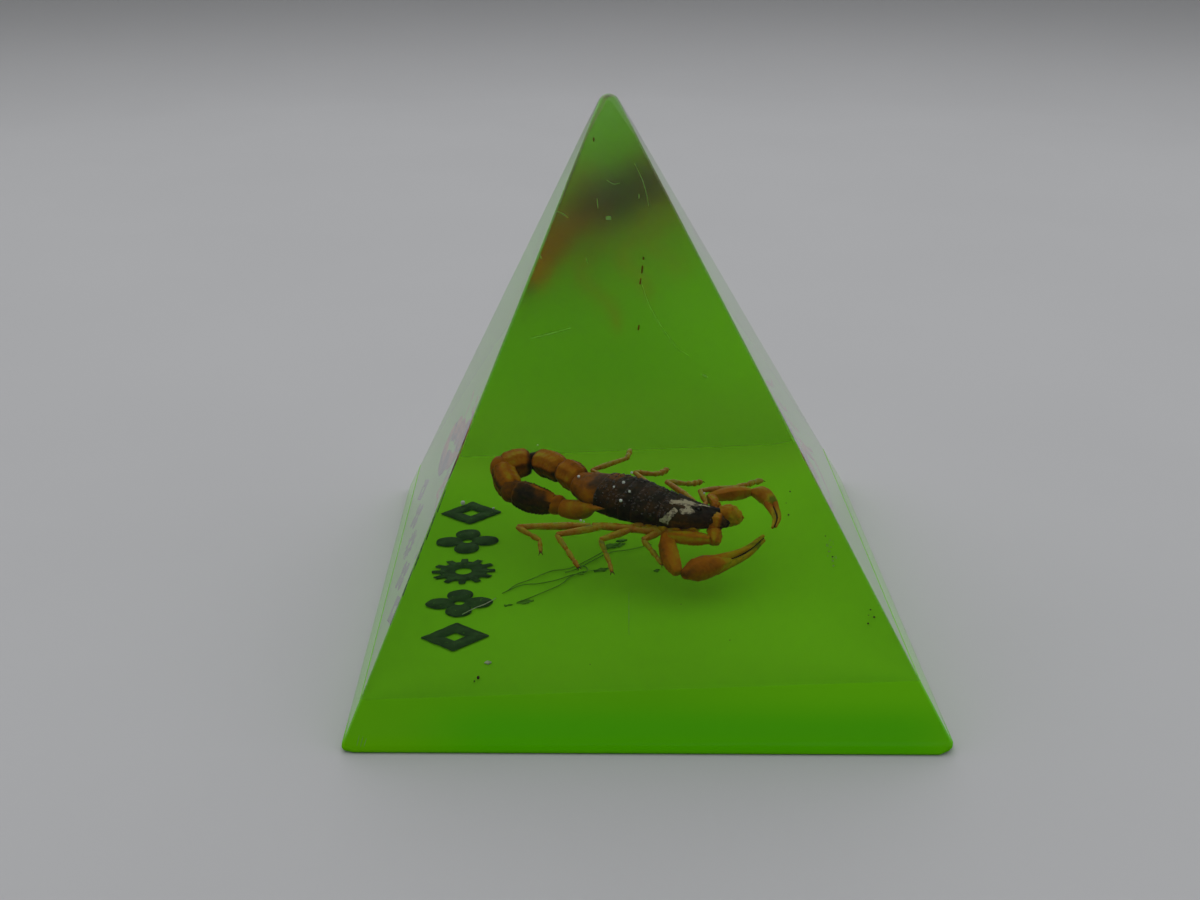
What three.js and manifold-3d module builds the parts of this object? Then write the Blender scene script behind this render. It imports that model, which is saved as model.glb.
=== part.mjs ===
// A square pyramid of cast resin, in millimetres, +Z up, resting on its base at z = 0.
// The clear pyramid was cast point down in a regular mould, and the green layer was poured level on the back of it.
// The base was then ground a little out of square, so the pyramid leans and the green layer is a slight wedge.
import * as THREE from "three";
import manifoldModule from "manifold-3d";

// Driving dimensions
const baseSide = 70;             // mean side of the ground base
const faceHalfAngleDeg = 26.9;   // between the pyramid's axis and each side face
const leanDeg = 2.64;            // lean of the axis towards -X, from grinding the base out of square
const turnDeg = 0.96;            // turn of the pyramid about its own axis
const edgeRadius = 0.4;          // polished edges
const tipRadius = 1.3;
const cornerRadius = 0.8;        // base corners
const wornCornerRadius = 1.5;    // the front right corner (+X, -Y) is knocked rounder
const reachPerRadius = 2.2;      // how far along its edges a corner's rounding runs out, in radii
const tipReach = 6;              // how far below the sharp apex the tip's rounding runs out
const layerThickness = 6.55;     // green layer at the middle of the base
const layerSlopeDeg = 1.95;      // the green layer is thicker towards +X
const sphereSegments = 24;

const manifold = await manifoldModule();
manifold.setup();
const { Manifold } = manifold;

const radians = THREE.MathUtils.degToRad;
const tanFace = Math.tan(radians(faceHalfAngleDeg));
const sinFace = Math.sin(radians(faceHalfAngleDeg));
const axisTurn = new THREE.Matrix4()
  .makeRotationY(radians(-leanDeg))
  .multiply(new THREE.Matrix4().makeRotationZ(radians(turnDeg)));
const axis = new THREE.Vector3(0, 0, 1).transformDirection(axisTurn);

// Where the slanted edge towards the corner (signX, signY) meets the level z, seen from the given apex.
function edgePoint(apex, signX, signY, z) {
  const slope = new THREE.Vector3(signX * tanFace, signY * tanFace, -1).applyMatrix4(axisTurn);
  return apex.clone().addScaledVector(slope, (apex.z - z) / -slope.z);
}

const corners = [[-1, -1], [1, -1], [1, 1], [-1, 1]];

// The height of the sharp apex that gives the ground base its mean side.
function sharpHeight() {
  const points = corners.map(([x, y]) => edgePoint(new THREE.Vector3(0, 0, 1), x, y, 0));
  const perimeter = points.reduce((sum, point, i) => sum + point.distanceTo(points[(i + 1) % 4]), 0);
  return baseSide / (perimeter / 4);
}

const apex = new THREE.Vector3(0, 0, sharpHeight());

// The highest place for a ball of this radius inside the sharp pyramid.
function innerApex(radius) {
  return apex.clone().addScaledVector(axis, -radius / sinFace);
}

// The centre of a ball that touches the two side faces beside a slanted edge, with its centre at the level z.
function edgeSeat([signX, signY], radius, z) {
  return edgePoint(innerApex(radius), signX, signY, z);
}

function ball(centre, radius) {
  return Manifold.sphere(radius, sphereSegments).translate(centre.toArray());
}

// One round ball in the tip, and a small one on each slanted edge where the tip's rounding runs out.
function tipBalls() {
  const runOuts = corners.map((corner) => edgeSeat(corner, edgeRadius, apex.z - tipReach));
  return [ball(innerApex(tipRadius), tipRadius), ...runOuts.map((centre) => ball(centre, edgeRadius))];
}

// One round ball in a base corner, and a small one on each of the corner's three edges where the rounding runs out.
function cornerBalls(corner, radius) {
  const reach = reachPerRadius * radius;
  const seat = edgeSeat(corner, edgeRadius, edgeRadius);
  const [signX, signY] = corner;
  const runOuts = [[-signX, signY], [signX, -signY]].map((neighbour) => {
    const along = edgeSeat(neighbour, edgeRadius, edgeRadius).sub(seat).setLength(reach);
    return seat.clone().add(along);
  });
  runOuts.push(edgeSeat(corner, edgeRadius, reach));
  return [ball(edgeSeat(corner, radius, radius), radius), ...runOuts.map((centre) => ball(centre, edgeRadius))];
}

// The rounded pyramid, with the middle of its bounding box over the origin and its base at z = 0.
function wholeBlock() {
  const balls = tipBalls();
  for (const corner of corners) {
    const isWorn = corner[0] === 1 && corner[1] === -1;
    balls.push(...cornerBalls(corner, isWorn ? wornCornerRadius : cornerRadius));
  }
  const rounded = Manifold.hull(balls);
  const { min, max } = rounded.boundingBox();
  return rounded.translate([-(min[0] + max[0]) / 2, -(min[1] + max[1]) / 2, -min[2]]);
}

function toMesh(solid, name, material) {
  const { vertProperties, triVerts } = solid.getMesh();
  const geometry = new THREE.BufferGeometry();
  geometry.setAttribute("position", new THREE.BufferAttribute(vertProperties, 3));
  geometry.setIndex(new THREE.BufferAttribute(triVerts, 1));
  geometry.computeVertexNormals();
  const mesh = new THREE.Mesh(geometry, material);
  mesh.name = name;
  return mesh;
}

// The pour plane between the green layer and the clear pyramid.
const pourNormal = [-Math.sin(radians(layerSlopeDeg)), 0, Math.cos(radians(layerSlopeDeg))];
const pourOffset = layerThickness * Math.cos(radians(layerSlopeDeg));
const [clearSolid, greenSolid] = wholeBlock().splitByPlane(pourNormal, pourOffset);

const clearResin = new THREE.MeshStandardMaterial({ color: 0xdfe8d6, roughness: 0.08, metalness: 0 });
const greenResin = new THREE.MeshStandardMaterial({ color: 0x49870f, roughness: 0.15, metalness: 0 });

const block = new THREE.Group();
block.add(toMesh(clearSolid, "clear_pyramid", clearResin));
block.add(toMesh(greenSolid, "green_layer", greenResin));

export default block;
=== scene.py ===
import math
import random

import bmesh
import bpy
import numpy as np
from mathutils import Matrix, Vector


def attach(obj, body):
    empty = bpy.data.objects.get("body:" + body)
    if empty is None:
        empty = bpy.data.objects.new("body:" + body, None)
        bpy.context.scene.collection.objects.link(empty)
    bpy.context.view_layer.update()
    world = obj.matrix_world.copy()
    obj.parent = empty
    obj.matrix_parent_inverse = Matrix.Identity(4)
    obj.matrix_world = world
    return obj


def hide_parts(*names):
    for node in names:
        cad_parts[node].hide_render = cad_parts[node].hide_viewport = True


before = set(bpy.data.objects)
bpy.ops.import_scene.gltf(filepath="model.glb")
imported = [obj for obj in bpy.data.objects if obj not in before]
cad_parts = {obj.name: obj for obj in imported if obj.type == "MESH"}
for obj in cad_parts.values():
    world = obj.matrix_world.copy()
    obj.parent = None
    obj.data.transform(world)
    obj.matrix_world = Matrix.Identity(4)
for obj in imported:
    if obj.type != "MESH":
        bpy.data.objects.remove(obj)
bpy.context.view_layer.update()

MM = 0.001
BODY = "root"


def new_object(name, data):
    made = bpy.data.objects.new(name, data)
    bpy.context.scene.collection.objects.link(made)
    return made


def rise(value, start, end):
    """0 at start and before it, 1 at end and past it, and a straight line between. start may be the larger."""
    return max(0.0, min(1.0, (value - start) / (end - start)))


def fade(value, middle, reach):
    """1 at middle, falling to 0 within about twice the reach."""
    return math.exp(-((value - middle) / reach) ** 2)


def wave(angle, count=1):
    """The cosine of count times an angle in degrees."""
    return math.cos(math.radians(angle * count))


# ---------------------------------------------------------------- camera

CAMERA_AT = (-4.87, -154.40, 92.02)
CAMERA_DOWN = 24.48       # degrees below the horizon, looking along +Y
CAMERA_LENS = 39.0
SENSOR_WIDTH = 36.0
CAMERA_REACH = (0.005, 20.0)    # nearest and farthest, in metres


def add_camera():
    data = bpy.data.cameras.new("camera")
    data.lens = CAMERA_LENS
    data.sensor_width = SENSOR_WIDTH
    data.clip_start, data.clip_end = CAMERA_REACH
    camera = new_object("camera", data)
    camera.location = Vector(CAMERA_AT) * MM
    camera.rotation_euler = (math.radians(90 - CAMERA_DOWN), 0, 0)
    bpy.context.scene.camera = camera


add_camera()


# ---------------------------------------------------------------- small helpers for shader nodes

def rgba(colour):
    """A plain colour with its alpha. A socket is returned as it is."""
    return (*colour, 1.0) if isinstance(colour, tuple) else colour


def put(tree, socket, value):
    """Links a socket from value where that is a socket too, or else sets it."""
    if isinstance(value, bpy.types.NodeSocket):
        tree.links.new(value, socket)
    else:
        socket.default_value = value


def node(tree, kind, settings=None, **inputs):
    """One node. settings are its own properties. inputs are its sockets by name, or by number as _0."""
    made = tree.nodes.new(kind)
    for key, value in (settings or {}).items():
        setattr(made, key, value)
    for key, value in inputs.items():
        label = int(key[1:]) if key[1:].isdigit() else key.replace("_", " ")
        put(tree, made.inputs[label], value)
    return made


def new_material(name):
    """A material with an empty tree. Returns the material and its tree."""
    made = bpy.data.materials.new(name)
    made.use_nodes = True
    made.node_tree.nodes.clear()
    return made, made.node_tree


def surface(tree, **sockets):
    """The material's own shader, with its sockets by name, and the output. Returns the output."""
    shader = node(tree, "ShaderNodeBsdfPrincipled", **sockets)
    return node(tree, "ShaderNodeOutputMaterial", Surface=shader.outputs[0])


def ramp(tree, factor, stops):
    """A colour ramp through (place, colour) stops."""
    made = node(tree, "ShaderNodeValToRGB", Fac=factor)
    elements = made.color_ramp.elements
    while len(elements) < len(stops):
        elements.new(0.5)
    for element, (place, colour) in zip(elements, stops):
        element.position = place
        element.color = rgba(colour)
    return made.outputs["Color"]


def remap(tree, value, low, high, to_low=0.0, to_high=1.0):
    """value from low..high to to_low..to_high, held at both ends and smoothed."""
    limits = dict(From_Min=low, From_Max=high, To_Min=to_low, To_Max=to_high)
    made = node(tree, "ShaderNodeMapRange", {"interpolation_type": "SMOOTHSTEP"}, Value=value, **limits)
    return made.outputs["Result"]


def maths(tree, operation, total, *others):
    """total with each of the others in turn."""
    for other in others:
        total = node(tree, "ShaderNodeMath", {"operation": operation}, _0=total, _1=other).outputs[0]
    return total


def mix_value(tree, factor, first, second):
    return node(tree, "ShaderNodeMix", {"data_type": "FLOAT"}, _0=factor, _2=first, _3=second).outputs[0]


def mix_colour(tree, factor, first, second):
    colours = dict(_6=rgba(first), _7=rgba(second))
    return node(tree, "ShaderNodeMix", {"data_type": "RGBA"}, _0=factor, **colours).outputs[2]


def position(tree):
    return node(tree, "ShaderNodeTexCoord").outputs["Object"]


def axes(tree, vector):
    return node(tree, "ShaderNodeSeparateXYZ", _0=vector).outputs


def noise(tree, scale, detail):
    return node(tree, "ShaderNodeTexNoise", Vector=position(tree), Scale=scale, Detail=detail).outputs[0]


def drawn(tree, name):
    """A value that is drawn on the mesh itself."""
    return node(tree, "ShaderNodeAttribute", {"attribute_name": name}).outputs["Fac"]


# ---------------------------------------------------------------- node groups shared by the materials

def new_group(name, inputs, outputs):
    """A shader node group. inputs give a default, a number or a colour, and outputs say Float or Color."""
    group = bpy.data.node_groups.new(name, "ShaderNodeTree")
    for label, default in inputs.items():
        kind = "NodeSocketColor" if isinstance(default, tuple) else "NodeSocketFloat"
        socket = group.interface.new_socket(name=label, in_out="INPUT", socket_type=kind)
        socket.default_value = rgba(default)
    for label, kind in outputs.items():
        group.interface.new_socket(name=label, in_out="OUTPUT", socket_type="NodeSocket" + kind)
    return group, group.nodes.new("NodeGroupInput").outputs, group.nodes.new("NodeGroupOutput").inputs


def use_group(tree, group, **inputs):
    """Places a group with this material's own values. Returns its outputs."""
    return node(tree, "ShaderNodeGroup", {"node_tree": group}, **inputs).outputs


def make_mottle_group():
    """Soft irregular patches as a mask from 0 to 1. Scale is in patches per metre."""
    group, given, result = new_group("mottle", dict(Scale=900.0, Low=0.35, High=0.65), dict(Mask="Float"))
    cloud = noise(group, given["Scale"], 3.0)
    put(group, result["Mask"], remap(group, cloud, given["Low"], given["High"]))
    return group


def make_grain_group():
    """Fine granules as a height from 0 to 1. Scale is in granules per metre."""
    group, given, result = new_group("grain", dict(Scale=9000.0, Roundness=0.6), dict(Height="Float"))
    place = dict(Vector=position(group), Scale=given["Scale"])
    cells = node(group, "ShaderNodeTexVoronoi", {"feature": "SMOOTH_F1"}, **place)
    domed = maths(group, "SUBTRACT", 1.0, cells.outputs["Distance"])
    put(group, result["Height"], maths(group, "POWER", domed, given["Roundness"]))
    return group


MOTTLE = make_mottle_group()
GRAIN = make_grain_group()


def mottle(tree, scale, low=0.3, high=0.7):
    return use_group(tree, MOTTLE, Scale=scale, Low=low, High=high)["Mask"]


# ---------------------------------------------------------------- floor and world

FLOOR_FLAT_RADIUS = 400.0     # the floor is flat to here, then sweeps up
FLOOR_CURVE_RADIUS = 160.0
FLOOR_CURVE_SPAN = 70.0       # degrees of the sweep
FLOOR_CURVE_STEPS = 16
FLOOR_SIDES = 96
FLOOR_COLOUR = (0.535, 0.535, 0.54)
FLOOR_PATCH = 0.97                  # the darker patches, as a share of the colour
FLOOR_PAINTED_SHADES = (0.88, 0.62)     # painted shade at the foot of the sweep, at the front and at the back
FLOOR_PAINTED_LIGHTS = (1.25, 1.9)      # painted light on its upper edge, so that it meets the light above


def shaded(colour, level):
    return tuple(level * c for c in colour)


def floor_material():
    made, tree = new_material("studio_floor")
    shade = mix_colour(tree, mottle(tree, 14.0, 0.2, 0.8), FLOOR_COLOUR, shaded(FLOOR_COLOUR, FLOOR_PATCH))
    _, depth, height = axes(tree, position(tree))
    backward = remap(tree, depth, -0.2, 0.4)
    # Painted shade at the foot of the sweep and painted light along its upper edge, both stronger at the back.
    for levels, low, high in ((FLOOR_PAINTED_SHADES, 0.0, 0.05), (FLOOR_PAINTED_LIGHTS, 0.055, 0.100)):
        front, back = (shaded(FLOOR_COLOUR, level) for level in levels)
        far = mix_colour(tree, backward, front, back)
        shade = mix_colour(tree, remap(tree, height, low, high), shade, far)
    surface(tree, Base_Color=shade, Roughness=0.75, Specular_IOR_Level=0.2)
    return made


def add_floor():
    """A round floor that sweeps up into a low seamless wall."""
    outline = [(FLOOR_FLAT_RADIUS * 0.5, 0.0), (FLOOR_FLAT_RADIUS, 0.0)]
    for i in range(1, FLOOR_CURVE_STEPS + 1):
        turn = math.radians(FLOOR_CURVE_SPAN) * i / FLOOR_CURVE_STEPS
        out, lift = math.sin(turn), 1 - math.cos(turn)
        outline.append((FLOOR_FLAT_RADIUS + FLOOR_CURVE_RADIUS * out, FLOOR_CURVE_RADIUS * lift))
    turns = [2 * math.pi * k / FLOOR_SIDES for k in range(FLOOR_SIDES)]
    mesh = bmesh.new()
    rings = []
    for radius, height in outline:
        ring = [Vector((radius * math.cos(t), radius * math.sin(t), height)) * MM for t in turns]
        rings.append([mesh.verts.new(place) for place in ring])
    mesh.faces.new(rings[0])
    for low, high in zip(rings, rings[1:]):
        for k in range(FLOOR_SIDES):
            after = (k + 1) % FLOOR_SIDES
            mesh.faces.new((low[k], high[k], high[after], low[after]))
    for face in mesh.faces:
        face.smooth = True
    data = bpy.data.meshes.new("studio_floor")
    mesh.to_mesh(data)
    mesh.free()
    data.materials.append(floor_material())
    new_object("studio_floor", data)


WORLD_COLOUR = (0.97, 0.98, 1.0)
WORLD_LEVELS = dict(low=0.42, side=0.40, top=0.88, back=0.50, dark=0.05)
LIGHT_BOUNCES = dict(
    max_bounces=24, diffuse_bounces=6, glossy_bounces=12, transmission_bounces=20, volume_bounces=2,
)


def add_world():
    """Soft light from all round: brightest overhead and at the back, and dark on the camera's side."""
    world = bpy.data.worlds.new("soft_room")
    world.use_nodes = True
    bpy.context.scene.world = world
    tree = world.node_tree
    tree.nodes.clear()
    _, depth, height = axes(tree, node(tree, "ShaderNodeTexCoord").outputs["Generated"])
    level = WORLD_LEVELS
    upward = remap(tree, height, 0.15, 0.95, level["side"], level["top"])
    backward = remap(tree, depth, 0.1, 0.9, 0.0, level["back"])
    backward = maths(tree, "MULTIPLY", backward, remap(tree, height, 0.05, 0.35))
    band = [remap(tree, height, 0.2, 0.28), remap(tree, height, 0.85, 0.72)]
    front = maths(tree, "MULTIPLY", remap(tree, depth, -0.35, -0.65), *band)
    above = mix_value(tree, front, maths(tree, "ADD", upward, backward), level["dark"])
    total = mix_value(tree, remap(tree, height, 0.02, 0.2), level["low"], above)
    light = node(tree, "ShaderNodeBackground", Strength=total, Color=rgba(WORLD_COLOUR))
    node(tree, "ShaderNodeOutputWorld", Surface=light.outputs[0])


def set_light_paths():
    """Enough bounces for light to get in and out of the block, and colours shown as they are."""
    for name, count in LIGHT_BOUNCES.items():
        setattr(bpy.context.scene.cycles, name, count)
    bpy.context.scene.view_settings.view_transform = "Standard"


add_floor()
add_world()
set_light_paths()


# ---------------------------------------------------------------- the block's planes, read from the frame

EDGE_RADIUS = 0.4           # polished edges
TIP_RADIUS = 1.3
CORNER_RADIUS = 0.6         # base corners
WORN_CORNER_RADIUS = 0.85   # the front right corner
REACH_PER_RADIUS = 1.8      # how far a base corner's rounding runs out
TIP_REACH = 6.0             # how far below the point its rounding runs out
SEAT_DEPTH = 0.05           # the clear block's foot is this far down in the green
SEAT_INSET = 0.04
ARC_STEPS = 10
MERGE_GAP = 0.002           # points nearer than this are one point
FLAT_ANGLE = 0.05           # degrees: faces nearer than this are one face
ROUND_ANGLE = 30            # degrees: up to here a face is shaded as round


def large_planes(name, count):
    """The largest flat faces of a CAD node as (outward normal, offset in millimetres)."""
    areas, sums = {}, {}
    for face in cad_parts[name].data.polygons:
        key = tuple(round(c, 2) for c in face.normal)
        way, gap = sums.get(key, (Vector(), 0.0))
        areas[key] = areas.get(key, 0.0) + face.area
        sums[key] = (way + face.normal * face.area, gap + face.center.dot(face.normal) * face.area / MM)
    largest = sorted(areas, key=areas.get, reverse=True)[:count]
    return [(sums[key][0] / areas[key], sums[key][1] / areas[key]) for key in largest]


clear_planes = large_planes("clear_pyramid", 5)
walls = [p for p in clear_planes if p[0].z > 0]
POUR_NORMAL = -[p for p in clear_planes if p[0].z < -0.5][0][0]
POUR_OFFSET = [p for p in large_planes("green_layer", 6) if p[0].z > 0.9][0][1]
FRONT = min(walls, key=lambda p: p[0].y)
BACK = max(walls, key=lambda p: p[0].y)
LEFT = min(walls, key=lambda p: p[0].x)
RIGHT = max(walls, key=lambda p: p[0].x)
DOWN = (Vector((0, 0, -1)), 0.0)
SLANTS = [(FRONT, LEFT), (FRONT, RIGHT), (BACK, RIGHT), (BACK, LEFT)]


def meet(planes, inset=0.0):
    """The point where planes meet, each moved in by inset. Four planes give the nearest point."""
    rows = np.array([p[0][:] for p in planes])
    offsets = np.array([p[1] - inset for p in planes])
    return Vector(np.linalg.lstsq(rows, offsets, rcond=None)[0])


SHARP_APEX = meet([FRONT, BACK, LEFT, RIGHT])


def pour_height(x, y):
    """Height of the green layer's top."""
    return (POUR_OFFSET - POUR_NORMAL.x * x - POUR_NORMAL.y * y) / POUR_NORMAL.z


def arc_normals(first, second):
    """Unit normals from one plane's to the next."""
    return [first[0].lerp(second[0], i / ARC_STEPS).normalized() for i in range(ARC_STEPS + 1)]


def corner_normals(first, second, third):
    """Unit normals over the round corner between three planes."""
    found = []
    for i in range(ARC_STEPS + 1):
        for j in range(ARC_STEPS + 1 - i):
            k = ARC_STEPS - i - j
            found.append((first[0] * i + second[0] * j + third[0] * k).normalized())
    return found


def tip_normals():
    """Unit normals over the round point, between the four walls."""
    found = []
    for i in range(ARC_STEPS + 1):
        near = FRONT[0].lerp(RIGHT[0], i / ARC_STEPS)
        far = LEFT[0].lerp(BACK[0], i / ARC_STEPS)
        found += [near.lerp(far, j / ARC_STEPS).normalized() for j in range(ARC_STEPS + 1)]
    return found


def slide_to_pour(point, slant, depth):
    """The point moved along its slanted edge to the pour plane, or to depth below it."""
    along = (meet([*slant, DOWN]) - SHARP_APEX).normalized()
    gap = POUR_OFFSET - depth - point.dot(POUR_NORMAL)
    return point + along * (gap / along.dot(POUR_NORMAL))


def seated(planes, radius, height):
    """The middle of a ball that touches these walls, at this height."""
    return meet([*planes, (Vector((0, 0, 1)), height + radius)], radius)


def clear_points():
    """Points and outward normals all over the clear block."""
    found = [(meet([FRONT, BACK, LEFT, RIGHT], TIP_RADIUS) + n * TIP_RADIUS, n) for n in tip_normals()]
    for slant in SLANTS:
        middle = seated(slant, EDGE_RADIUS, SHARP_APEX.z - TIP_REACH)
        for n in arc_normals(*slant):
            found.append((middle + n * EDGE_RADIUS, n))
            found.append((slide_to_pour(middle + n * (EDGE_RADIUS - SEAT_INSET), slant, SEAT_DEPTH), n))
    return found


def green_points():
    """Points and outward normals all over the green layer."""
    found = []
    for slant in SLANTS:
        radius = WORN_CORNER_RADIUS if slant == (FRONT, RIGHT) else CORNER_RADIUS
        reach = REACH_PER_RADIUS * radius
        middle = seated(slant, radius, radius)
        found += [(middle + n * radius, n) for n in corner_normals(*slant, DOWN)]
        seat = seated(slant, EDGE_RADIUS, EDGE_RADIUS)
        for wall in slant:
            neighbour = next(s for s in SLANTS if s != slant and wall in s)
            along = (seated(neighbour, EDGE_RADIUS, EDGE_RADIUS) - seat).normalized() * reach
            found += [(seat + along + n * EDGE_RADIUS, n) for n in arc_normals(wall, DOWN)]
        middle = seated(slant, EDGE_RADIUS, reach)
        for n in arc_normals(*slant):
            found.append((middle + n * EDGE_RADIUS, n))
            found.append((slide_to_pour(middle + n * EDGE_RADIUS, slant, 0.0), n))
    return found


def cast_share(normal):
    """0 on the polished front, 1 on the faces left as they came from the mould."""
    return rise(1.0 - normal.dot(FRONT[0]), 0.0, 0.1)


def hull_object(name, points):
    """A closed convex solid through the points, shaded by their own normals where it is round."""
    mesh = bmesh.new()
    for point, _ in points:
        mesh.verts.new(point)
    bmesh.ops.remove_doubles(mesh, verts=mesh.verts, dist=MERGE_GAP)
    made = bmesh.ops.convex_hull(mesh, input=mesh.verts)
    spare = made["geom_interior"] + made["geom_unused"]
    spare = {part for part in spare if isinstance(part, bmesh.types.BMVert)}
    bmesh.ops.delete(mesh, geom=list(spare), context="VERTS")
    bmesh.ops.dissolve_limit(mesh, angle_limit=math.radians(FLAT_ANGLE), verts=mesh.verts, edges=mesh.edges)
    bmesh.ops.recalc_face_normals(mesh, faces=mesh.faces)
    data = bpy.data.meshes.new(name)
    mesh.to_mesh(data)
    mesh.free()
    places = np.array([p[:] for p, _ in points])
    vertex_normals = []
    for vertex in data.vertices:
        nearest = int(((places - np.array(vertex.co)) ** 2).sum(axis=1).argmin())
        vertex_normals.append(points[nearest][1])
    loop_normals = [None] * len(data.loops)
    for face in data.polygons:
        face.use_smooth = True
        for loop in face.loop_indices:
            own = vertex_normals[data.loops[loop].vertex_index]
            is_round = own.dot(face.normal) > wave(ROUND_ANGLE)
            loop_normals[loop] = own if is_round else face.normal.copy()
    data.normals_split_custom_set(loop_normals)
    cast = data.attributes.new("cast", "FLOAT", "FACE")
    cast.data.foreach_set("value", [cast_share(face.normal) for face in data.polygons])
    data.transform(Matrix.Scale(MM, 4))
    return new_object(name, data)


# ---------------------------------------------------------------- the two resins

RESIN_IOR = 1.55
RESIN_WHITE = (1.0, 1.0, 1.0)
RESIN_TINT = (0.965, 0.985, 0.93)
RESIN_DENSITY = 4.0         # per metre
FRONT_ROUGHNESS = 0.0
CAST_ROUGHNESS = 0.19       # back and side faces seen from inside the block
OUTER_ROUGHNESS = 0.045     # the same faces from outside

GREEN_BACK_PAINTED_LIGHT = (0.205, 0.61, 0.010)      # painted light, paler along the layer's back edge
GREEN_PAINTED_SHADE = (0.10, 0.545, 0.0)        # painted shade, a deeper green along the foot of its front wall
GREEN_SHEEN = (0.45, 1.0, 0.06)
# The top's colours are a little paler than the walls': painted light on the top.
GREENS = {    # sheen, light patches, dark patches
    "green_resin_walls": (0.0, (0.160, 0.56, 0.002), (0.140, 0.53, 0.001)),
    "green_resin_top": (1.0, (0.170, 0.59, 0.004), (0.155, 0.56, 0.003)),
}
RIGHT_PAINTED_LIGHT = 1.13          # painted light: how much paler the green is at its right
# Where the green's painted light and shade, and its gloss, change, in metres.
RIGHT_BAND = (-0.004, 0.024)
BACK_BAND = (0.019, 0.028)
NEAR_BAND = (-0.034, -0.028)
PAINTED_SHADE_MIDDLE = 0.006
PAINTED_SHADE_SIDES = (0.037, 0.022)     # either side of its middle
PAINTED_SHADE_HEIGHTS = (0.0064, 0.0028)
# A thin paler line at the very foot of the front wall is painted light.
RIM_PAINTED_LIGHT_HEIGHTS = (0.0007, 0.0001)
DULL_HEIGHTS = (0.0008, 0.0024)
TOP_FACING = 0.95           # a face that points up more than this is the layer's top


def clear_resin_material():
    """Clear cast resin: polished in front, and rougher on the faces left as they came from the mould."""
    made, tree = new_material("clear_resin")
    inner = node(tree, "ShaderNodeNewGeometry").outputs["Backfacing"]
    cast_rough = remap(tree, inner, 0.0, 1.0, OUTER_ROUGHNESS, CAST_ROUGHNESS)
    rough = mix_value(tree, drawn(tree, "cast"), FRONT_ROUGHNESS, cast_rough)
    bump = node(tree, "ShaderNodeBump", Height=noise(tree, 60.0, 1.0), Strength=0.15, Distance=0.0002)
    sockets = dict(Base_Color=rgba(RESIN_WHITE), Transmission_Weight=1.0, IOR=RESIN_IOR)
    output = surface(tree, Roughness=rough, Normal=bump.outputs[0], **sockets)
    inside = node(tree, "ShaderNodeVolumeAbsorption", Color=rgba(RESIN_TINT), Density=RESIN_DENSITY)
    put(tree, output.inputs["Volume"], inside.outputs[0])
    return made


def make_dye_and_painted_light_group():
    """Green dye in soft patches, with painted light paler at the right and along the back, painted shade along
    the front wall's foot with a thin line of painted light at its very bottom, and dull under the clear block.
    """
    plain = dict(Light=GREEN_BACK_PAINTED_LIGHT, Dark=GREEN_BACK_PAINTED_LIGHT, Right=GREEN_BACK_PAINTED_LIGHT)
    outputs = dict(Colour="Color", Roughness="Float", Gloss="Float")
    group, given, result = new_group("green_dye_and_painted_light", plain, outputs)
    across, depth, height = axes(group, position(group))
    shade = mix_colour(group, mottle(group, 70.0, 0.25, 0.75), given["Light"], given["Dark"])
    # Painted light: paler towards the right and along the back edge.
    shade = mix_colour(group, remap(group, across, *RIGHT_BAND), shade, given["Right"])
    shade = mix_colour(group, remap(group, depth, *BACK_BAND), shade, GREEN_BACK_PAINTED_LIGHT)
    # Painted shade along the front wall, most in its middle and towards its foot, and a little on the top near
    # the front.
    near = remap(group, depth, *NEAR_BAND, 1.0, 0.0)
    sideways = maths(group, "ABSOLUTE", maths(group, "SUBTRACT", across, PAINTED_SHADE_MIDDLE), 0.0)
    middle = remap(group, sideways, *PAINTED_SHADE_SIDES)
    low = remap(group, height, *PAINTED_SHADE_HEIGHTS, 0.25, 1.0)
    painted_rim_light = remap(group, height, *RIM_PAINTED_LIGHT_HEIGHTS, 0.0, 0.6)
    painted_shade = maths(group, "MULTIPLY", near, middle, maths(group, "SUBTRACT", low, painted_rim_light))
    put(group, result["Colour"], mix_colour(group, painted_shade, shade, GREEN_PAINTED_SHADE))
    normal = node(group, "ShaderNodeNewGeometry").outputs["True Normal"]
    gloss = maths(group, "SUBTRACT", 1.0, remap(group, axes(group, normal)["Z"], 0.9, 0.99))
    put(group, result["Roughness"], remap(group, gloss, 0.0, 1.0, 0.6, 0.14))
    edge = mix_value(group, near, 1.0, remap(group, height, *DULL_HEIGHTS))
    put(group, result["Gloss"], maths(group, "MULTIPLY", gloss, edge))
    return group


GREEN_DYE_AND_PAINTED_LIGHT = make_dye_and_painted_light_group()


def green_resin_material(name, sheen, light, dark):
    made, tree = new_material(name)
    # Painted light: the paler colour the green takes at its right.
    right = shaded(light, RIGHT_PAINTED_LIGHT)
    dye = use_group(tree, GREEN_DYE_AND_PAINTED_LIGHT, Light=rgba(light), Dark=rgba(dark), Right=rgba(right))
    sockets = dict(Specular_IOR_Level=0.0, Coat_IOR=RESIN_IOR, Coat_Roughness=0.08)
    sockets.update(Sheen_Weight=sheen, Sheen_Roughness=0.5, Sheen_Tint=rgba(GREEN_SHEEN))
    surface(tree, Base_Color=dye["Colour"], Roughness=dye["Roughness"], Coat_Weight=dye["Gloss"], **sockets)
    return made


def add_resins():
    clear_block = hull_object("clear_block", clear_points())
    clear_block.data.materials.append(clear_resin_material())
    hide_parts("clear_pyramid")
    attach(clear_block, BODY)
    green_foot = hull_object("green_foot", green_points())
    for name, finish in GREENS.items():
        green_foot.data.materials.append(green_resin_material(name, *finish))
    for face in green_foot.data.polygons:
        face.material_index = 1 if face.normal.z > TOP_FACING else 0
    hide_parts("green_layer")
    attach(green_foot, BODY)


add_resins()


# ---------------------------------------------------------------- lofts: how every limb and plate is made

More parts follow.
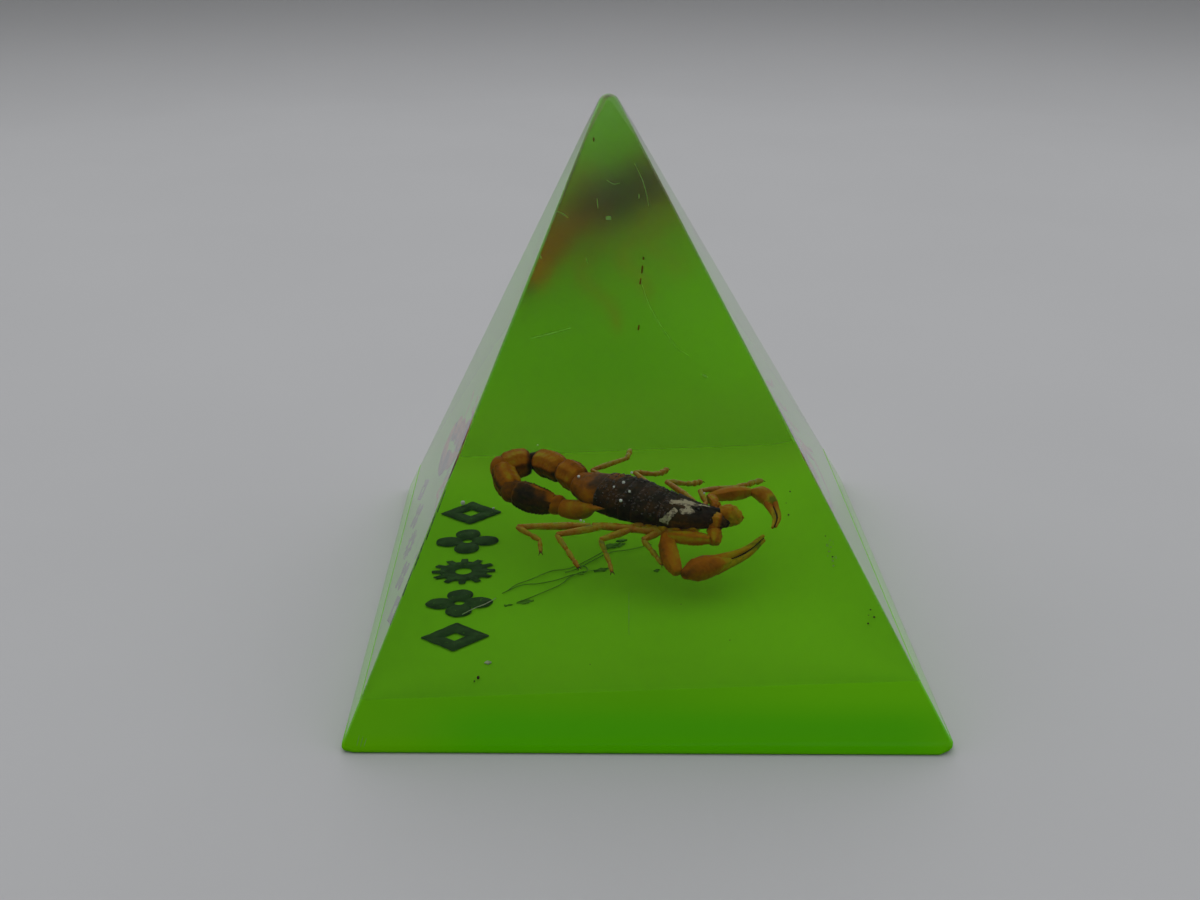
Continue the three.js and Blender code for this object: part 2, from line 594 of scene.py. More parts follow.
class Skin:
    """Gathers the faces of one piece. Each vertex has a tone, from 0, black-brown, by orange to 1, olive."""

    def __init__(self):
        self.places, self.tones, self.faces = [], [], []

    def ring(self, places, tones):
        first = len(self.places)
        self.places += [tuple(p) for p in places]
        self.tones += list(tones)
        return list(range(first, first + len(places)))

    def bridge(self, low, high):
        for k in range(len(low)):
            after = (k + 1) % len(low)
            self.faces.append((low[k], low[after], high[after], high[k]))

    def close(self, ring, place, tone, flip):
        tip = self.ring([place], [tone])[0]
        for first, second in zip(ring, ring[1:] + ring[:1]):
            self.faces.append((tip, second, first) if flip else (first, second, tip))

    def make(self, name, material, smears=()):
        """The finished piece. smears, as (start, end, radius), are drawn on it as a residue from 0 to 1."""
        data = bpy.data.meshes.new(name)
        data.from_pydata([[c * MM for c in p] for p in self.places], [], self.faces)
        data.update()
        mesh = bmesh.new()
        mesh.from_mesh(data)
        bmesh.ops.recalc_face_normals(mesh, faces=mesh.faces)
        for face in mesh.faces:
            face.smooth = True
        mesh.to_mesh(data)
        mesh.free()
        tone = data.attributes.new("tone", "FLOAT", "POINT")
        tone.data.foreach_set("value", self.tones)
        if smears:
            places = np.array(self.places)
            share = np.zeros(len(places))
            for start, end, radius in smears:
                along = np.array(end) - np.array(start)
                reach = ((places - np.array(start)) @ along / (along @ along)).clip(0, 1)
                gap = np.linalg.norm(places - np.array(start) - np.outer(reach, along), axis=1)
                share = np.maximum(share, 1 - gap / radius)
            film = data.attributes.new("residue", "FLOAT", "POINT")
            film.data.foreach_set("value", share.clip(0, 1).astype(float))
        data.materials.append(material)
        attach(new_object(name, data), BODY)


SPLINE_STEPS = 30         # between two points of a curve
LINE_STEPS = 60           # along a straight line
PROFILE_STEPS = 201
PROFILE_WINDOW = 17       # steps over which a profile is smoothed
CAP_STEPS = 4
KEEL_SPREAD = 0.17        # radians
BUMP_SIZE = 0.55          # from lump to lump


def follow(points, count):
    """count places at even steps along a smooth curve through the points, and the curve's way at each."""
    control = np.array(points, float)
    if len(control) == 2:
        fine = control[0] + np.linspace(0, 1, LINE_STEPS)[:, None] * (control[1] - control[0])
    else:
        padded = np.vstack([2 * control[0] - control[1], control, 2 * control[-1] - control[-2]])
        parts = []
        for a, b, c, d in zip(padded, padded[1:], padded[2:], padded[3:]):
            t = np.linspace(0, 1, SPLINE_STEPS, endpoint=False)[:, None]
            square, cube = 2 * a - 5 * b + 4 * c - d, 3 * b - a - 3 * c + d
            parts.append(0.5 * (2 * b + (c - a) * t + square * t**2 + cube * t**3))
        fine = np.vstack([*parts, control[-1:]])
    lengths = np.concatenate([[0], np.cumsum(np.linalg.norm(np.diff(fine, axis=0), axis=1))])
    wanted = np.linspace(0, lengths[-1], count)
    places = np.stack([np.interp(wanted, lengths, fine[:, k]) for k in range(3)], axis=1)
    ways = np.gradient(places, axis=0)
    return places, ways / np.linalg.norm(ways, axis=1)[:, None]


def profile(stops, count):
    """A smooth run of values through one number, evenly placed values or (share, value) stops."""
    if isinstance(stops, (int, float)):
        return np.full(count, float(stops))
    if not isinstance(stops[0], tuple):
        stops = [(i / (len(stops) - 1), value) for i, value in enumerate(stops)]
    shares, values = zip(*stops)
    grid = np.linspace(0, 1, PROFILE_STEPS)
    window = np.ones(PROFILE_WINDOW) / PROFILE_WINDOW
    padded = np.pad(np.interp(grid, shares, values), PROFILE_WINDOW // 2, mode="edge")
    return np.interp(np.linspace(0, 1, count), grid, np.convolve(padded, window, mode="valid"))


def bumps(places, size, seed):
    """Smooth lumps over the places, mostly between -1 and 1, from a few crossed waves."""
    draw = random.Random(seed)
    total = np.zeros(len(places))
    for _ in range(5):
        way = np.array([draw.gauss(0, 1) for _ in range(3)])
        way *= 2 * math.pi / (size * np.linalg.norm(way)) * draw.uniform(0.7, 1.4)
        total += np.sin(places @ way + draw.uniform(0, 6.3))
    return total / 3


def loft(skin, points, widths, heights=None, up=(0, 0, 1), tone=0.6, keels=(), flat=1.0, rings=22, sides=20,
         power=2.0, cap=0.6, grit=0.0, granules=0.0, seed=1):
    """A closed solid along the points. widths and heights are half sizes, keels are (angle, height) ridges.
    Without heights, it is flat times as high as it is wide."""
    places, ways = follow(points, rings)
    wide = profile(widths, rings)
    high = wide * flat if heights is None else profile(heights, rings)
    tones = tone if callable(tone) else (lambda share, angle: tone)
    turns = [math.pi / 2 * i / CAP_STEPS for i in range(1, CAP_STEPS)]
    rows = [(0, math.cos(a), -math.sin(a)) for a in reversed(turns)]
    rows += [(i, 1.0, 0.0) for i in range(rings)]
    rows += [(rings - 1, math.cos(a), math.sin(a)) for a in turns]
    angles = 2 * math.pi * np.arange(sides) / sides
    across = np.sign(np.sin(angles)) * np.abs(np.sin(angles)) ** (2 / power)
    over = np.sign(np.cos(angles)) * np.abs(np.cos(angles)) ** (2 / power)
    loops = []
    for i, scale, push in rows:
        side = np.cross(ways[i], up)
        side /= np.linalg.norm(side)
        lift = np.cross(side, ways[i])
        share = i / (rings - 1)
        ridge = np.zeros(sides)
        for angle, size in keels:
            gap = np.angle(np.exp(1j * (angles - math.radians(angle))))
            beaded = 1.0 + granules * math.sin(share * rings * 2.1 + angle)
            ends = min(1.0, 6 * share, 6 * (1 - share) + 0.3)
            ridge += size * beaded * np.exp(-(gap / KEEL_SPREAD) ** 2) * ends
        grow = scale * (1 + ridge / max(wide[i], high[i]))
        middle = places[i] + ways[i] * push * cap * min(wide[i], high[i])
        ring = middle + np.outer(across * wide[i] * grow, side) + np.outer(over * high[i] * grow, lift)
        if grit:
            outward = ring - middle
            outward /= np.linalg.norm(outward, axis=1)[:, None] + 1e-9
            ring = ring + outward * (grit * scale * bumps(ring, BUMP_SIZE, seed))[:, None]
        own = [tones(share, math.degrees(a)) for a in np.angle(np.exp(1j * angles))]
        loops.append(skin.ring(ring, own))
    for low, high_loop in zip(loops, loops[1:]):
        skin.bridge(low, high_loop)
    start = places[0] - ways[0] * cap * min(wide[0], high[0])
    finish = places[-1] + ways[-1] * cap * min(wide[-1], high[-1])
    skin.close(loops[0], start, tones(0.0, 0.0), True)
    skin.close(loops[-1], finish, tones(1.0, 0.0), False)


def between(first, second, share):
    return tuple(a + (b - a) * share for a, b in zip(first, second))


def bead(skin, middle, radius, tone, flat=1.0, sides=10, **grit):
    """A small round lump."""
    x, y, z = middle
    ends = [(x - 0.3 * radius, y, z), (x + 0.3 * radius, y, z)]
    loft(skin, ends, radius, tone=tone, flat=flat, rings=3, sides=sides, cap=0.75, **grit)


# ---------------------------------------------------------------- finishes of what is sealed in

CHITIN_TONES = [
    (0.00, (0.006, 0.005, 0.002)),
    (0.12, (0.021, 0.017, 0.006)),
    (0.25, (0.062, 0.031, 0.006)),
    (0.40, (0.200, 0.070, 0.001)),
    (0.55, (0.350, 0.113, 0.0005)),
    (0.70, (0.390, 0.170, 0.001)),
    (0.82, (0.380, 0.310, 0.003)),
    (0.92, (0.160, 0.180, 0.003)),
    (1.00, (0.130, 0.200, 0.004)),
]
CHITIN_DRIFT = 0.16        # how far broad patches shift the tone
CHITIN_SPECKLE = 0.08      # and fine ones
PURPLE_BROWN = (0.052, 0.022, 0.010)
STAIN_STRENGTH = 0.22
RESIDUE_PALE = (0.46, 0.42, 0.27)
RESIDUE_DULL = (0.13, 0.11, 0.07)
RESIDUE_ROUGHNESS = 0.8


def make_chitin_group():
    """Dried chitin by its tone: a mottled colour, its fine mottling, and the height of its granules."""
    outputs = dict(Colour="Color", Fine="Float", Height="Float")
    group, given, result = new_group("chitin", dict(Tone=0.5), outputs)
    broad, fine = mottle(group, 420.0), mottle(group, 1900.0)
    drift = maths(group, "MULTIPLY", maths(group, "SUBTRACT", broad, 0.5), CHITIN_DRIFT)
    speckle = maths(group, "MULTIPLY", maths(group, "SUBTRACT", fine, 0.5), CHITIN_SPECKLE)
    tone = maths(group, "ADD", given["Tone"], drift, speckle)
    grain = use_group(group, GRAIN, Scale=5200.0, Roundness=0.8)["Height"]
    put(group, result["Colour"], ramp(group, tone, CHITIN_TONES))
    put(group, result["Fine"], fine)
    put(group, result["Height"], maths(group, "ADD", grain, broad))
    return group


def make_film_group():
    """Purple stains over a colour, and a torn pale film over both. Film is how thick it is, from 0 to 1."""
    plain = dict(Colour=PURPLE_BROWN, Film=0.0)
    group, given, result = new_group("pale_film", plain, dict(Colour="Color", Mask="Float"))
    stain = maths(group, "MULTIPLY", mottle(group, 560.0, 0.48, 0.66), STAIN_STRENGTH)
    stained = mix_colour(group, stain, given["Colour"], PURPLE_BROWN)
    torn = maths(group, "MULTIPLY", maths(group, "SUBTRACT", noise(group, 1100.0, 4.0), 0.5), 1.6)
    edge = remap(group, maths(group, "ADD", given["Film"], torn), 0.34, 0.40)
    mask = maths(group, "MULTIPLY", edge, remap(group, given["Film"], 0.02, 0.10))
    worn = remap(group, noise(group, 1700.0, 3.0), 0.46, 0.62)
    pale = mix_colour(group, worn, RESIDUE_PALE, RESIDUE_DULL)
    put(group, result["Colour"], mix_colour(group, mask, stained, pale))
    put(group, result["Mask"], mask)
    return group


CHITIN = make_chitin_group()
PALE_FILM = make_film_group()


def chitin_material(name, gloss=0.04, rough=0.34, filmed=False):
    """Dried chitin, its colour following the tone drawn on each piece. A filmed one has its residue too."""
    made, tree = new_material(name)
    skin = use_group(tree, CHITIN, Tone=drawn(tree, "tone"))
    colour = skin["Colour"]
    roughness = remap(tree, skin["Fine"], 0.0, 1.0, rough, rough + 0.15)
    if filmed:
        film = use_group(tree, PALE_FILM, Colour=colour, Film=drawn(tree, "residue"))
        colour = film["Colour"]
        roughness = mix_value(tree, film["Mask"], roughness, RESIDUE_ROUGHNESS)
    bump = node(tree, "ShaderNodeBump", Height=skin["Height"], Strength=0.4, Distance=0.00006)
    surface(tree, Base_Color=colour, Roughness=roughness, Normal=bump.outputs[0], Specular_IOR_Level=gloss)
    return made


def mottled_material(name, light, dark, scale, rough, gloss=0.1):
    """A finish that drifts between two near colours."""
    made, tree = new_material(name)
    patches = mottle(tree, scale)
    shade = mix_colour(tree, patches, light, dark)
    roughness = remap(tree, patches, 0.0, 1.0, rough, min(1.0, rough + 0.1))
    surface(tree, Base_Color=shade, Roughness=roughness, Specular_IOR_Level=gloss)
    return made


chitin = chitin_material("chitin")
leg_chitin = chitin_material("leg_chitin", gloss=0.22, rough=0.24)
shield_chitin = chitin_material("shield_chitin", gloss=0.05, rough=0.40, filmed=True)
eye_chitin = chitin_material("eye_chitin", gloss=0.4, rough=0.12)
granule_chitin = chitin_material("granule_chitin", gloss=0.5, rough=0.22, filmed=True)


# ---------------------------------------------------------------- scorpion: body

BODY_LINE = [
    (-7.5, 1.9, 15.7), (-5.0, -0.2, 15.8), (-2.0, -2.1, 15.85),
    (3.0, -4.75, 15.6), (7.0, -5.95, 15.2), (9.9, -6.05, 14.95),
]
BODY_ROLL = 10.0          # degrees, the back turned towards -Y
BODY_STEPS = 61
BODY_SHARES = (0, 0.12, 0.28, 0.45, 0.6, 0.72, 0.86, 1)      # of its length, from the tail end
BODY_HALF_WIDTHS = (1.55, 2.4, 3.2, 3.3, 2.95, 2.6, 2.0, 1.4)
BODY_HALF_HEIGHTS = (1.35, 1.65, 2.06, 1.98, 1.62, 1.38, 1.08, 0.85)
BODY_UP = (0, -math.sin(math.radians(BODY_ROLL)), math.cos(math.radians(BODY_ROLL)))
TERGITE_EDGES = [0.0, 0.225, 0.315, 0.405, 0.49, 0.57, 0.645, 0.715]   # rear to front
TERGITE_TONES = [0.39, 0.17, 0.12, 0.10, 0.10, 0.11, 0.13]
LAST_TERGITE_KEELS = [(0, 0.1), (24, 0.09), (-24, 0.09), (50, 0.1), (-50, 0.1)]
TERGITE_KEELS = [(0, 0.12), (36, 0.09), (-36, 0.09)]
CARAPACE_KEELS = [(14, 0.08), (-14, 0.08), (42, 0.08), (-42, 0.08), (70, 0.06), (-70, 0.06)]
RESIDUE = [    # smears of white film as (start, end, radius)
    ((4.4, -5.6, 16.8), (6.3, -5.6, 16.8), 0.95),
    ((5.4, -7.0, 16.3), (6.2, -6.9, 16.3), 0.85),
    ((6.6, -5.6, 16.6), (8.6, -5.3, 16.2), 0.34),
    ((3.1, -7.8, 15.5), (4.2, -7.1, 16.2), 0.85),
]
GRANULE_ROWS = 13         # granules across the rear edge of each tergite
GRANULE_FIELDS = [        # more granules, as (count, shares of the length, angles, radius)
    (170, (0.24, 0.70), (-60, 78), 0.13),
    (70, (0.72, 0.96), (-60, 80), 0.08),
]
MEDIAN_EYES = (0.862, 0.13, 1.16, 0.16)      # share, to either side, up, radius
SIDE_EYES = ((0.955, 0.97, 0.985), 0.82, 0.5, 0.10)

body_steps = np.linspace(0, 1, BODY_STEPS)
body_places, body_ways = follow(BODY_LINE, BODY_STEPS)
body_wide = profile(list(zip(BODY_SHARES, BODY_HALF_WIDTHS)), BODY_STEPS)
body_high = profile(list(zip(BODY_SHARES, BODY_HALF_HEIGHTS)), BODY_STEPS)


def body_size(share):
    """Half width and half height of the body at a share of its length from the tail end."""
    return float(np.interp(share, body_steps, body_wide)), float(np.interp(share, body_steps, body_high))


def body_at(share, near=0.0, up=0.0):
    """A point at a share of the body's length, near and up in half widths and half heights."""
    middle = np.array([np.interp(share, body_steps, body_places[:, k]) for k in range(3)])
    forward = body_ways[int(round(share * (BODY_STEPS - 1)))]
    side = np.cross(forward, BODY_UP)
    side /= np.linalg.norm(side)
    wide, high = body_size(share)
    return tuple(middle + side * near * wide + np.cross(side, forward) * up * high)


def body_plate(shares, up, flares, rises=None):
    """A line along the body with its half widths and half heights, as multiples of the body's own."""
    line = [body_at(s, 0, up) for s in shares]
    wide = [body_size(s)[0] * f for s, f in zip(shares, flares)]
    high = [body_size(s)[1] * f for s, f in zip(shares, rises or flares)]
    return line, wide, high


def add_belly():
    def tone(share, angle):
        if abs(angle) > 115:
            return 0.42
        return 0.16 + 0.03 * math.sin(share * 88) + 0.3 * fade(share, 0.0, 0.12)

    skin = Skin()
    shares = np.linspace(0.02, 0.97, 14)
    folds = [0.93 + 0.03 * (k % 2) for k in range(14)]
    plate = body_plate(shares, -0.16, folds)
    loft(skin, *plate, BODY_UP, tone, rings=90, sides=40, power=2.4, grit=0.03, seed=3)
    skin.make("scorpion_belly", chitin)


def last_tergite_tone(share, angle):
    """The tan last tergite: a bright spot near its front corner, a red far edge and dark corners."""
    spot = 0.26 * fade(share, 0.72, 0.25) * fade(angle, 62, 22)
    red = 0.06 * fade(angle, -50, 25)
    dark = 0.26 * fade(angle, 8, 34) * rise(share, 0.5, 1.0)
    return TERGITE_TONES[0] + spot + red - dark - 0.22 * rise(abs(angle), 85, 110)


def tergite_tone(number):
    far_edge = 0.14 if number == 1 else 0.0

    def tone(share, angle):
        ribs = 0.07 * fade(share, 0.0, 0.10) + 0.02 * wave(angle, 14)
        return TERGITE_TONES[number] + ribs + far_edge * fade(angle, -35, 35)
    return tone


def add_tergites():
    skin = Skin()
    for k, (rear, front) in enumerate(zip(TERGITE_EDGES, TERGITE_EDGES[1:])):
        flare = [1.05, 1.02, 0.99, 0.94] if k else [0.98, 1.02, 1.0, 0.92]
        keels = TERGITE_KEELS if k else LAST_TERGITE_KEELS
        tone = tergite_tone(k) if k else last_tergite_tone
        plate = body_plate(np.linspace(rear, front + 0.02, 4), 0.03, flare)
        loft(skin, *plate, BODY_UP, tone, keels, rings=16, sides=72, power=2.5, cap=0.05,
             grit=0.06, granules=0.5, seed=20 + k)
    skin.make("scorpion_tergites", shield_chitin, RESIDUE)


def add_granules():
    """Rows of granules along the tergites' rear edges, and more scattered over them and the carapace."""
    skin = Skin()
    draw = random.Random(11)
    spots = []
    for rear in TERGITE_EDGES[1:7]:
        for k in range(GRANULE_ROWS):
            spots.append((rear + 0.012, -66 + 132 * k / (GRANULE_ROWS - 1), 0.15))
    for count, shares, angles, radius in GRANULE_FIELDS:
        for _ in range(count):
            spots.append((draw.uniform(*shares), draw.uniform(*angles), radius))
    for share, angle, radius in spots:
        turn = math.radians(angle)
        across = math.copysign(abs(math.sin(turn)) ** 0.8, angle)
        place = body_at(share, 1.01 * across, 1.03 * abs(math.cos(turn)) ** 0.8 + 0.03)
        bead(skin, place, radius * draw.uniform(0.7, 1.25), draw.uniform(0.06, 0.2), 0.8, 6)
    skin.make("scorpion_granules", granule_chitin, RESIDUE)


def add_carapace():
    def tone(share, angle):
        flank = 0.11 * rise(abs(angle), 40, 85)
        return 0.10 + flank - 0.05 * rise(share, 0.8, 1.0) + 0.02 * wave(angle, 8)

    skin = Skin()
    flares, rises = (1.03, 1.02, 1.0, 1.0, 1.0, 0.98), (1.06, 1.05, 1.03, 1.02, 1.0, 0.9)
    plate = body_plate(np.linspace(0.705, 1.0, 6), 0.04, flares, rises)
    loft(skin, *plate, BODY_UP, tone, CARAPACE_KEELS, rings=34, sides=72, power=2.8, cap=0.12,
         grit=0.05, granules=0.6, seed=31)
    tubercle = [body_at(0.845, 0, 0.95), body_at(0.875, 0, 1.0)]
    loft(skin, tubercle, 0.42, 0.28, BODY_UP, 0.06, rings=4, sides=14, cap=0.8)
    skin.make("scorpion_carapace", shield_chitin, RESIDUE)


def add_eyes():
    skin = Skin()
    share, aside, up, radius = MEDIAN_EYES
    for near in (-aside, aside):
        bead(skin, body_at(share, near, up), radius, 0.0)
    shares, aside, up, radius = SIDE_EYES
    for near in (-aside, aside):
        for share in shares:
            bead(skin, body_at(share, near, up), radius, 0.0)
    skin.make("scorpion_eyes", eye_chitin)


# ---------------------------------------------------------------- scorpion: tail

TAIL_JOINTS = [
    (-7.2, 2.3, 15.7), (-9.4, 5.1, 15.9), (-13.1, 9.3, 15.4),
    (-17.4, 8.3, 14.8), (-16.0, 3.9, 13.7), (-10.3, 1.5, 12.95),
]
TAIL_SPANS = [(0.06, 0.96), (0.06, 0.87), (0.20, 0.96), (0.06, 0.96), (0.04, 0.96)]   # from joint to joint
TAIL_HALF_WIDTHS = [1.85, 1.74, 1.82, 1.74, 1.8]
TAIL_FLATNESS = 0.93
TAIL_SHAPE = [(0, 0.80), (0.12, 0.94), (0.45, 1.0), (0.85, 0.98), (1, 0.88)]
LAST_TAIL_SHAPE = [(0, 0.66), (0.1, 0.92), (0.4, 1.02), (0.75, 0.88), (1, 0.62)]
TAIL_KEELS = [
    (32, 0.14), (-32, 0.14), (78, 0.12), (-78, 0.12), (124, 0.13), (-124, 0.13), (160, 0.11), (-160, 0.11),
]
TAIL_TONES = [0.62, 0.66, 0.70, 0.66, 0.18]
CURL_MIDDLE = np.array((-12.6, 4.6, 14.2))
JOINT_TONES = [0.36, 0.13, 0.54, 0.34, 0.56]
JOINT_SIZES = [0.70, 0.66, 0.88, 0.86, 0.70]     # shares of the half widths
TELSON_LINE = [
    (-9.5, 0.8, 12.9), (-8.8, 0.5, 12.85), (-7.9, 0.1, 12.95), (-6.9, -0.8, 13.5),
    (-6.1, -2.3, 14.4), (-5.2, -4.3, 15.4), (-4.3, -6.3, 16.35),
]
TELSON_SIZES = [1.18, 1.34, 1.28, 0.84, 0.38, 0.20, 0.06]


def dark_last_tone(share, angle):
    """The dark last segment, with an orange streak on its side and an orange end."""
    streak = 0.48 * fade(angle, 62, 16) * fade(share, 0.55, 0.28)
    end = 0.42 * rise(share, 0.76, 0.96) * (1 if abs(angle) < 120 else 0.3) * (share < 0.96)
    return TAIL_TONES[4] + streak + end + 0.26 * fade(share, 0.0, 0.13) + 0.025 * wave(angle, 8)


def tail_tone(number):
    """A tail segment's tone, by the share of its length and the angle from the inner side of the curl, with
    painted light on its upper side and painted shade on its lower side.
    """
    ridges = (0.05, 0.05, 0.05, 0.09)[number]
    start, end = (0.14, 0.14, 0.36, 0.14)[number], (0.16, 0.30, 0.16, 0.14)[number]
    # low sets the painted shade on each segment's lower side.
    outer, low = (0.20, 0.16, 0.20, 0.32)[number], (0.12, 0.34, 0.28, 0.0)[number]

    def tone(share, angle):
        # Ridges, with a paler patch of painted light on the upper side near the segment's end.
        light = ridges * wave(angle, 8) + 0.08 * fade(share, 0.75, 0.2) * fade(angle, 80, 40)
        dark = start * fade(share, 0.0, 0.08) + end * fade(share, 1.0, 0.05)
        # Dark ends at the joints, a darker outer side of the curl, and painted shade on the lower side.
        dark += outer * rise(abs(angle), 95, 155) + low * rise(angle, 58, 18) * (angle > -100)
        return TAIL_TONES[number] + light - dark
    return tone


def add_tail():
    skin, joints = Skin(), Skin()
    for k, (start, end) in enumerate(zip(TAIL_JOINTS, TAIL_JOINTS[1:])):
        first, last = TAIL_SPANS[k]
        middle = (np.array(start) + np.array(end)) / 2
        inward = CURL_MIDDLE - middle
        bulge = tuple(middle - 0.25 * inward / np.linalg.norm(inward))
        shape, tone = (LAST_TAIL_SHAPE, dark_last_tone) if k == 4 else (TAIL_SHAPE, tail_tone(k))
        wide = [(s, TAIL_HALF_WIDTHS[k] * v) for s, v in shape]
        line = [between(start, end, first), bulge, between(start, end, last)]
        loft(skin, line, wide, None, tuple(inward), tone, TAIL_KEELS, TAIL_FLATNESS, rings=40, sides=72,
             power=2.3, cap=0.22, grit=0.035, granules=0.45, seed=40 + k)
        bead(joints, end, TAIL_HALF_WIDTHS[k] * JOINT_SIZES[k], JOINT_TONES[k], sides=24, grit=0.04, seed=k)
    skin.make("scorpion_tail", chitin)
    joints.make("scorpion_tail_joints", chitin)


def add_telson():
    def tone(share, angle):
        ends = 0.25 * rise(share, 0.8, 1.0) + 0.08 * fade(share, 0.0, 0.08)
        return 0.62 + 0.05 * wave(angle - 60) - ends

    skin = Skin()
    loft(skin, TELSON_LINE, TELSON_SIZES, tone=tone, flat=0.95, rings=44, sides=36, cap=0.4,
         grit=0.03, seed=51)
    skin.make("scorpion_telson", chitin)


# ---------------------------------------------------------------- scorpion: pincers and mouth

NEAR_PINCER = dict(
    hip=[(9.1, -6.9, 14.3), (9.2, -7.6, 14.1)],
    turn=[(9.2, -8.0, 13.9), (9.1, -9.0, 13.3)],
    femur=[(8.5, -9.0, 13.5), (6.0, -8.7, 13.6), (3.7, -7.9, 13.5)],
    patella=[(3.3, -7.6, 13.3), (3.6, -9.9, 12.0), (4.5, -12.3, 10.8)],
    hand=[(5.3, -12.7, 10.75), (7.2, -11.7, 10.9), (10.9, -10.7, 11.55)],
    fingers=[(9.2, -11.1, 11.2), (12.7, -9.9, 12.1), (15.2, -7.7, 13.0)],
    spread=(-0.03, 0.11, 0.24),
    hand_half=[0.64, 1.46, 1.54, 1.12, 0.58],
    patella_half=[0.70, 1.10, 1.15, 1.0, 0.66],
    tones=(0.72, 0.55, 0.55, 0.87),      # femur, patella, hand and fingers
)
FAR_PINCER = dict(
    hip=[(9.4, -4.6, 15.2), (9.7, -4.0, 15.3)],
    turn=[(9.7, -3.9, 15.3), (9.6, -3.2, 15.3)],
    femur=[(9.6, -3.2, 15.3), (9.3, -1.8, 15.2), (9.0, -0.5, 15.1)],
    patella=[(9.0, -0.4, 15.0), (11.6, 1.1, 14.7), (14.2, 2.7, 14.2)],
    hand=[(14.6, 2.6, 14.2), (15.9, 1.7, 14.2), (16.9, -0.6, 14.1)],
    fingers=[(16.7, -0.3, 14.1), (17.2, -3.4, 13.7), (16.7, -5.5, 13.4)],
    spread=(0.20, 0.02, 0.04),
    hand_half=[0.55, 1.0, 1.08, 0.92, 0.70],
    patella_half=[0.50, 0.72, 0.86, 0.86, 0.55],
    tones=(0.68, 0.66, 0.70, 0.82),
)
HAND_KEELS = [(20, 0.07), (-30, 0.07), (70, 0.06), (-80, 0.06), (130, 0.06)]
LIMB_KEELS = [(45, 0.10), (-45, 0.10), (135, 0.08), (-135, 0.08)]
KNOB_KEELS = [(30, 0.13), (-40, 0.13), (100, 0.11), (-110, 0.11), (170, 0.11)]
FINGER_SPREADS = (1.9, 1.4, 1.0)                  # times spread, from the root to the tip
FINGER_WIDTHS = (1.95, 1.45, 1.12, 0.92, 0.6)
TEETH_OFFSET = (0.0, -0.27, 0.13)


def add_pincer(name, hip, turn, femur, patella, hand, fingers, spread, hand_half, patella_half, tones):
    """One pedipalp: two short base pieces, femur, patella, the hand and its two fingers, and the teeth."""
    skin, teeth = Skin(), Skin()
    femur_tone, patella_tone, hand_tone, finger_tone = tones
    slim, thick = patella_half[1] / 1.10, hand_half[2] / 1.52

    def wrinkled(share, angle):
        return femur_tone + 0.07 * wave(angle, 5)

    # A redder middle and paler, yellower edges: partly the patella's own colour, partly painted light standing
    # for light through its thin edges.
    def red_middle(share, angle):
        return patella_tone + 0.14 - 0.25 * fade(share, 0.44, 0.40) * fade(angle, 55, 60)

    def ribbed(share, angle):
        light = 0.24 * fade(share, 1.02, 0.22) + 0.05 * wave(angle, 3) + 0.14 * fade(angle, 145, 30)
        return hand_tone + light - 0.10 * fade(share, 0.0, 0.06)

    knobbed = dict(keels=KNOB_KEELS, rings=16, sides=32, grit=0.14)
    loft(skin, hip, [0.62 * slim, 0.84 * slim], [0.62 * slim, 0.8 * slim],
         tone=femur_tone - 0.14, seed=61, **knobbed)
    loft(skin, turn, [0.86 * slim, 0.78 * slim], [0.88 * slim, 0.8 * slim],
         tone=wrinkled, seed=62, **knobbed)
    wide, high = ([slim * v for v in shape] for shape in ((0.55, 0.86, 0.86, 0.72), (0.5, 0.76, 0.74, 0.6)))
    loft(skin, femur, wide, high, tone=wrinkled, keels=LIMB_KEELS,
         rings=30, sides=40, power=2.5, cap=0.4, grit=0.03, granules=0.5, seed=63)
    loft(skin, patella, patella_half, tone=red_middle, keels=LIMB_KEELS, flat=0.95,
         rings=34, sides=44, power=2.4, cap=0.45, grit=0.03, granules=0.4, seed=64)
    loft(skin, hand, hand_half, tone=ribbed, keels=HAND_KEELS, flat=0.92,
         rings=40, sides=48, cap=0.5, grit=0.035, seed=65)
    for sign, size, seed in ((1, 0.36, 66), (-1, 0.42, 67)):
        def tapered(share, angle):
            dark = 0.24 * fade(share, 0.0, 0.34) + 0.10 * rise(share, 0.85, 1.0)
            return finger_tone - 0.02 * sign - dark + 0.03 * wave(angle, 2)

        line = [tuple(np.array(p) + sign * np.array(spread) * s) for p, s in zip(fingers, FINGER_SPREADS)]
        wide = [size * thick * f for f in FINGER_WIDTHS]
        loft(skin, line, wide, tone=tapered, flat=0.95, rings=34, sides=24, cap=0.9, grit=0.015, seed=seed)
    places, _ = follow(fingers, 30)
    for k in range(5, 30):
        bead(teeth, tuple(places[k] + TEETH_OFFSET), 0.17 - 0.003 * k, 0.16, sides=8)
    skin.make(name, chitin)
    teeth.make(name + "_teeth", chitin)


CHELICERAE = [     # (line, half sizes, how much darker the front is)
    ([(9.6, -5.3, 15.0), (11.0, -5.3, 14.9), (12.2, -5.5, 14.7)], [0.8, 1.3, 1.4, 0.95], 0.0),
    ([(8.8, -6.8, 15.0), (9.6, -7.0, 14.95), (10.4, -7.1, 14.75)], [0.7, 1.05, 1.0, 0.6], 0.52),
]
CLAW_SIZES = [0.3, 0.24, 0.07]


